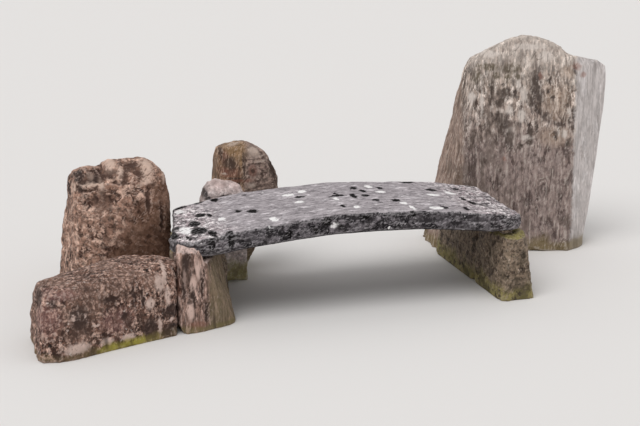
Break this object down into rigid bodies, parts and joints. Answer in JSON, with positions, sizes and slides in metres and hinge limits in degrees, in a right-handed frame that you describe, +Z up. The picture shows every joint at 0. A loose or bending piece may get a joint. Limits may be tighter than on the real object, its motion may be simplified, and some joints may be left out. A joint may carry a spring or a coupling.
{
  "type": "moon bridge",
  "caption": "Low arched footbridge of a dry garden: a cambered natural stone slab on rough bearing stones, flanked by boulders and a tall standing stone.",
  "frame": {"origin": "middle of the whole group of stones in plan, at the level of the gravel on which every stone stands; the slab's crown lies 31 mm to the left (-X) and 151 mm to the near side (-Y) of it", "axes": "+X along the bridge from the left bank to the right one, +Y across the bridge towards the tall standing stone's back, away from the viewer, +Z up"},
  "size_m": [3.3258, 1.5608, 1.1811],
  "materials": {
    "slab_stone": "rough natural stone",
    "packing_stone": "rough natural stone",
    "banded_stone": "rough natural stone",
    "bearing_stone": "rough natural stone",
    "wing_stone": "rough natural stone",
    "dome_stone": "rough natural stone",
    "ledge_stone": "rough natural stone",
    "leaning_stone": "rough natural stone",
    "standing_stone": "rough natural stone"
  },
  "bodies": {
    "root": {"bridge_slab": "slab_stone", "left_near_packing": "packing_stone", "left_far_packing": "packing_stone", "right_near_packing": "packing_stone", "right_far_packing": "packing_stone", "left_near_bearing_stone": "banded_stone", "left_far_bearing_stone": "bearing_stone", "right_near_bearing_stone": "bearing_stone", "right_far_bearing_stone": "bearing_stone", "left_wing_stone": "wing_stone", "left_domed_boulder": "dome_stone", "far_ledge_stone": "ledge_stone", "far_leaning_stone": "leaning_stone", "right_standing_stone": "standing_stone"}
  },
  "joints": []
}
